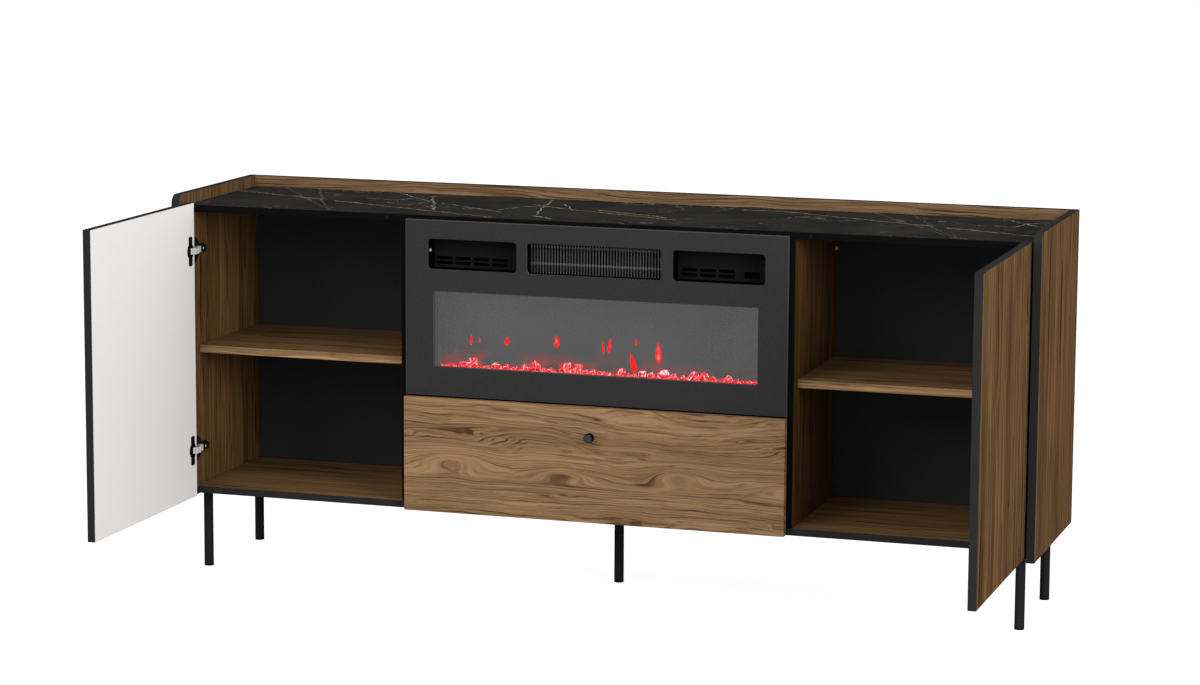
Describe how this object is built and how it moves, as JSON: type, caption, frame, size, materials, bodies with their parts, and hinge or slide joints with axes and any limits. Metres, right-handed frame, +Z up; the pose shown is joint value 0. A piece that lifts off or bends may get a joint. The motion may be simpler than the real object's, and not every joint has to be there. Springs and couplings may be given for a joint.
{
  "type": "fireplace tv stand",
  "caption": "Low TV sideboard with an electric fire over a drawer, hinged doors with shelves behind on both sides, and round legs.",
  "frame": {"origin": "on the floor under the middle of the centre leg", "axes": "+X along the front to the right, +Y from the front to the back, +Z up"},
  "size_m": [2, 0.9503, 0.876],
  "materials": {
    "walnut_board": "satin laminate, wood grain",
    "stone_laminate": "satin laminate, dark stone look",
    "black_board": "matt black board",
    "black_steel": "satin black powder coat",
    "charcoal_front": "fine textured charcoal coat",
    "dark_sheet": "matt black sheet steel",
    "zinc": "bright zinc",
    "black_plastic": "fine matt",
    "clear_glass": "clear",
    "smoked_screen": "grey diffuser",
    "ember_crystal": "red glow",
    "light_board": "white strip",
    "bright_metal": "plain"
  },
  "bodies": {
    "carcass": {"back_left_leg": "black_steel", "back_right_leg": "black_steel", "bottom_panel": "walnut_board", "cam_locks": "zinc", "centre_leg": "black_steel", "crystal_tray": "dark_sheet", "crystals": "ember_crystal", "fan_motor": "black_plastic", "fire_front": "charcoal_front", "fire_housing": "dark_sheet", "fire_shelf": "walnut_board", "flame_screen": "smoked_screen", "front_left_leg": "black_steel", "front_right_leg": "black_steel", "gallery_rail": "walnut_board", "heater_grille": "black_steel", "heating_element": "bright_metal", "hinge_arms": "zinc", "hinge_plates": "black_steel", "latch_sleeves": "black_plastic", "left_divider": "walnut_board", "left_shelf": "walnut_board", "left_side_panel": "walnut_board", "left_upright": "walnut_board", "left_vent_tray": "dark_sheet", "leg_glides": "black_plastic", "leg_screws": "zinc", "light_strip": "light_board", "mains_inlet": "black_plastic", "middle_back_panel": "black_board", "right_divider": "walnut_board", "right_shelf": "walnut_board", "right_side_panel": "walnut_board", "right_upright": "walnut_board", "right_vent_tray": "dark_sheet", "runner_outer_channels": "zinc", "shaft_brackets": "black_steel", "shelf_pins": "zinc", "side_back_panels": "black_board", "spindle_motor": "black_plastic", "top_panel": "stone_laminate", "viewing_glass": "clear_glass"},
    "left_door": {"left_door": "walnut_board", "left_hinge_cups": "black_steel"},
    "right_door": {"right_door": "walnut_board", "right_hinge_cups": "black_steel"},
    "left_links": {"left_hinge_links": "zinc"},
    "right_links": {"right_hinge_links": "zinc"},
    "drawer": {"drawer_front": "walnut_board", "drawer_sides": "walnut_board", "drawer_back": "walnut_board", "drawer_bottom": "black_board", "drawer_knob": "black_steel", "runner_inner_channels": "zinc"},
    "runner_middle": {"runner_middle_channels": "zinc"},
    "heater_fan": {"heater_fan": "bright_metal"},
    "flame_spindle": {"flame_spindle": "bright_metal"},
    "power_switch": {"power_switch": "black_plastic"},
    "left_plunger": {"left_latch_plunger": "black_plastic"},
    "right_plunger": {"right_latch_plunger": "black_plastic"}
  },
  "joints": [
    {"name": "left_door_swing", "type": "hinge", "parent": "carcass", "child": "left_door", "pos_m": [-0.97183, -0.20946, 0.515], "axis": [0, 0, 1], "range_deg": [-8, 90]},
    {"name": "left_link_swing", "type": "hinge", "parent": "carcass", "child": "left_links", "pos_m": [-0.97183, -0.20946, 0.515], "axis": [0, 0, 1], "range_deg": [-4, 45]},
    {"name": "right_door_swing", "type": "hinge", "parent": "carcass", "child": "right_door", "pos_m": [0.97183, -0.20946, 0.515], "axis": [0, 0, 1], "range_deg": [-90, 8]},
    {"name": "right_link_swing", "type": "hinge", "parent": "carcass", "child": "right_links", "pos_m": [0.97183, -0.20946, 0.515], "axis": [0, 0, 1], "range_deg": [-45, 4]},
    {"name": "drawer_slide", "type": "slide", "parent": "carcass", "child": "drawer", "axis": [0, -1, 0], "range_m": [0, 0.3]},
    {"name": "runner_slide", "type": "slide", "parent": "carcass", "child": "runner_middle", "axis": [0, -1, 0], "range_m": [0, 0.15]},
    {"name": "heater_fan_spin", "type": "hinge", "parent": "carcass", "child": "heater_fan", "pos_m": [0, -0.102, 0.7645], "axis": [1, 0, 0], "continuous": true},
    {"name": "flame_spindle_spin", "type": "hinge", "parent": "carcass", "child": "flame_spindle", "pos_m": [0, -0.094, 0.561], "axis": [1, 0, 0], "continuous": true},
    {"name": "power_switch_rock", "type": "hinge", "parent": "carcass", "child": "power_switch", "pos_m": [0.349, -0.1525, 0.745], "axis": [0, 0, 1], "range_deg": [-6, 6]},
    {"name": "left_plunger_push", "type": "slide", "parent": "carcass", "child": "left_plunger", "axis": [0, 1, 0], "range_m": [0, 0.0018], "stiffness_N_per_m": 300},
    {"name": "right_plunger_push", "type": "slide", "parent": "carcass", "child": "right_plunger", "axis": [0, 1, 0], "range_m": [0, 0.0018], "stiffness_N_per_m": 300}
  ],
  "couplings": [
    {"joint": "left_link_swing", "follows": "left_door_swing", "ratio": 0.5},
    {"joint": "right_link_swing", "follows": "right_door_swing", "ratio": 0.5},
    {"joint": "runner_slide", "follows": "drawer_slide", "ratio": 0.5}
  ]
}
